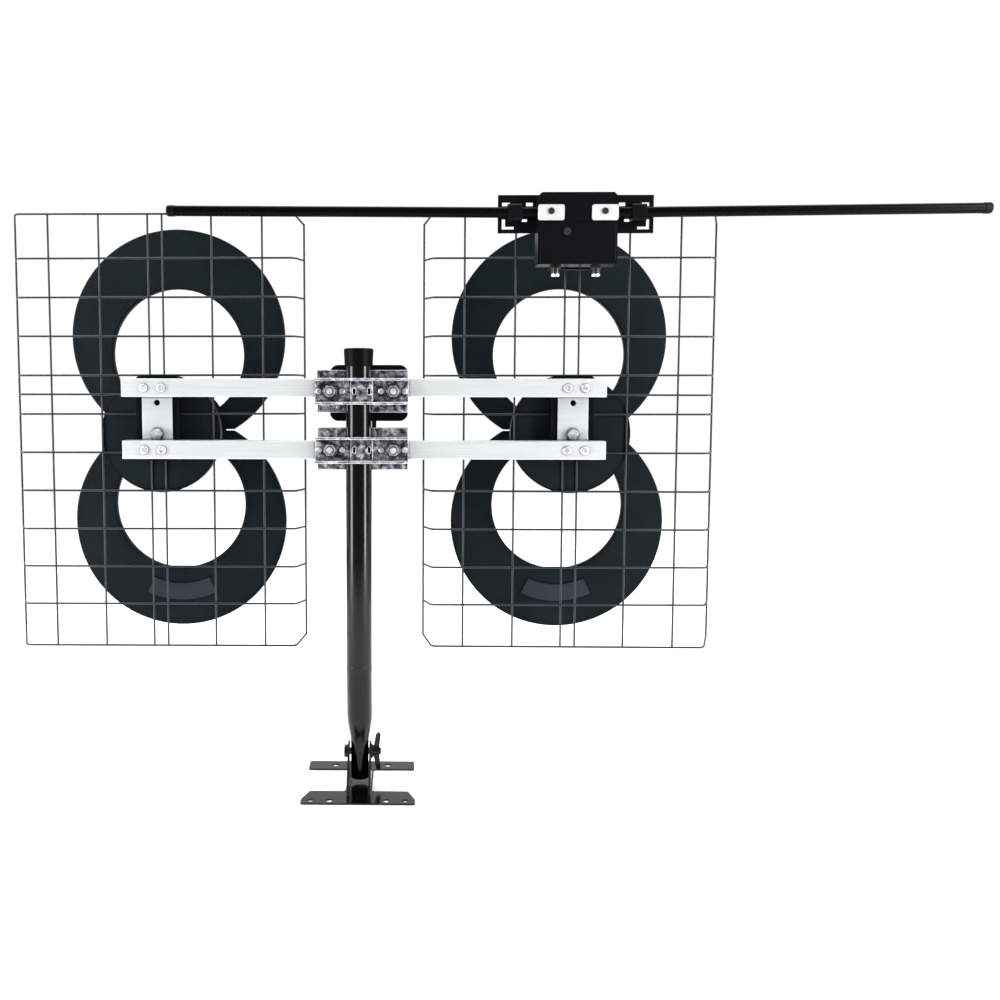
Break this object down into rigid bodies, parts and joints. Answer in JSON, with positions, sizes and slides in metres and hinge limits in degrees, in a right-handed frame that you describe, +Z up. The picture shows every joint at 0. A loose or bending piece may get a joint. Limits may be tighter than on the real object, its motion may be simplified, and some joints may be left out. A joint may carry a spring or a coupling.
{
  "type": "outdoor television antenna",
  "caption": "Outdoor television antenna with tapered loops before folded wire reflectors, a long dipole rod, crossbars clamped to a mast and a tilting foot.",
  "frame": {"origin": "middle of the foot's four-bolt pattern, on the foot's underside", "axes": "+X to the right seen from behind, +Y forward where the antenna aims, +Z up the mast"},
  "size_m": [1.1232, 0.189, 0.692],
  "materials": {
    "black_paint": "gloss black powder coat",
    "cap_plastic": "soft matte black",
    "satin_aluminium": "satin extruded aluminium",
    "zinc_plate": "bright zinc plating",
    "zinc_fastener": "bright zinc plating",
    "black_fastener": "black oxide",
    "black_wire": "black coated wire",
    "charcoal_plastic": "fine matte grain",
    "black_plastic": "satin moulded black",
    "dark_element": "dark painted aluminium",
    "black_rod": "black coated tube",
    "contact_plate": "bright plated",
    "circuit_board": "solder mask",
    "nickel_jack": "nickel plated"
  },
  "bodies": {
    "foot": {"foot_bracket": "black_paint", "pivot_bolt": "black_paint", "pivot_washer": "black_paint"},
    "wing_nut": {"pivot_wing_nut": "black_paint"},
    "mast": {"mast_tube": "black_paint", "mast_cap": "cap_plastic"},
    "head": {"bracket_rivets": "zinc_fastener", "clamp_bolts": "zinc_fastener", "clamp_nuts": "zinc_fastener", "clamp_rivets": "zinc_fastener", "clamp_washers": "zinc_fastener", "combiner_board": "circuit_board", "combiner_coax_jacks": "nickel_jack", "combiner_housing": "black_plastic", "combiner_lid": "black_plastic", "combiner_screws": "zinc_fastener", "dipole_balun_board": "circuit_board", "dipole_clip_screw": "black_fastener", "dipole_coax_jacks": "nickel_jack", "dipole_contact_plates": "contact_plate", "dipole_contact_screws": "black_fastener", "dipole_cover": "black_plastic", "dipole_housing": "black_plastic", "dipole_wire_clip": "black_plastic", "feed_screws": "zinc_fastener", "hub_bolts": "zinc_fastener", "hub_coax_jacks": "nickel_jack", "left_balun_board": "circuit_board", "left_dipole_rod": "black_rod", "left_dipole_tip": "black_plastic", "left_hub_cover": "charcoal_plastic", "left_hub_housing": "charcoal_plastic", "left_panel_bracket": "satin_aluminium", "left_reflector": "black_wire", "left_wire_grip": "black_plastic", "lower_clamp_channel": "zinc_plate", "lower_clamp_plate": "zinc_plate", "lower_left_bar": "satin_aluminium", "lower_left_loop_element": "dark_element", "lower_left_loop_shell": "charcoal_plastic", "lower_right_bar": "satin_aluminium", "lower_right_loop_element": "dark_element", "lower_right_loop_shell": "charcoal_plastic", "right_balun_board": "circuit_board", "right_dipole_rod": "black_rod", "right_dipole_tip": "black_plastic", "right_hub_cover": "charcoal_plastic", "right_hub_housing": "charcoal_plastic", "right_panel_bracket": "satin_aluminium", "right_reflector": "black_wire", "right_wire_grip": "black_plastic", "upper_clamp_channel": "zinc_plate", "upper_clamp_plate": "zinc_plate", "upper_left_bar": "satin_aluminium", "upper_left_loop_element": "dark_element", "upper_left_loop_shell": "charcoal_plastic", "upper_right_bar": "satin_aluminium", "upper_right_loop_element": "dark_element", "upper_right_loop_shell": "charcoal_plastic"}
  },
  "joints": [
    {"name": "mast_tilt", "type": "hinge", "parent": "foot", "child": "mast", "pos_m": [0, 0, 0.0405], "axis": [1, 0, 0], "range_deg": [-90, 90]},
    {"name": "azimuth", "type": "hinge", "parent": "mast", "child": "head", "pos_m": [0, -0.0125, 0.45], "axis": [0, 0, 1], "continuous": true},
    {"name": "wing_nut_spin", "type": "hinge", "parent": "foot", "child": "wing_nut", "pos_m": [0.02, 0, 0.0405], "axis": [1, 0, 0], "continuous": true}
  ]
}
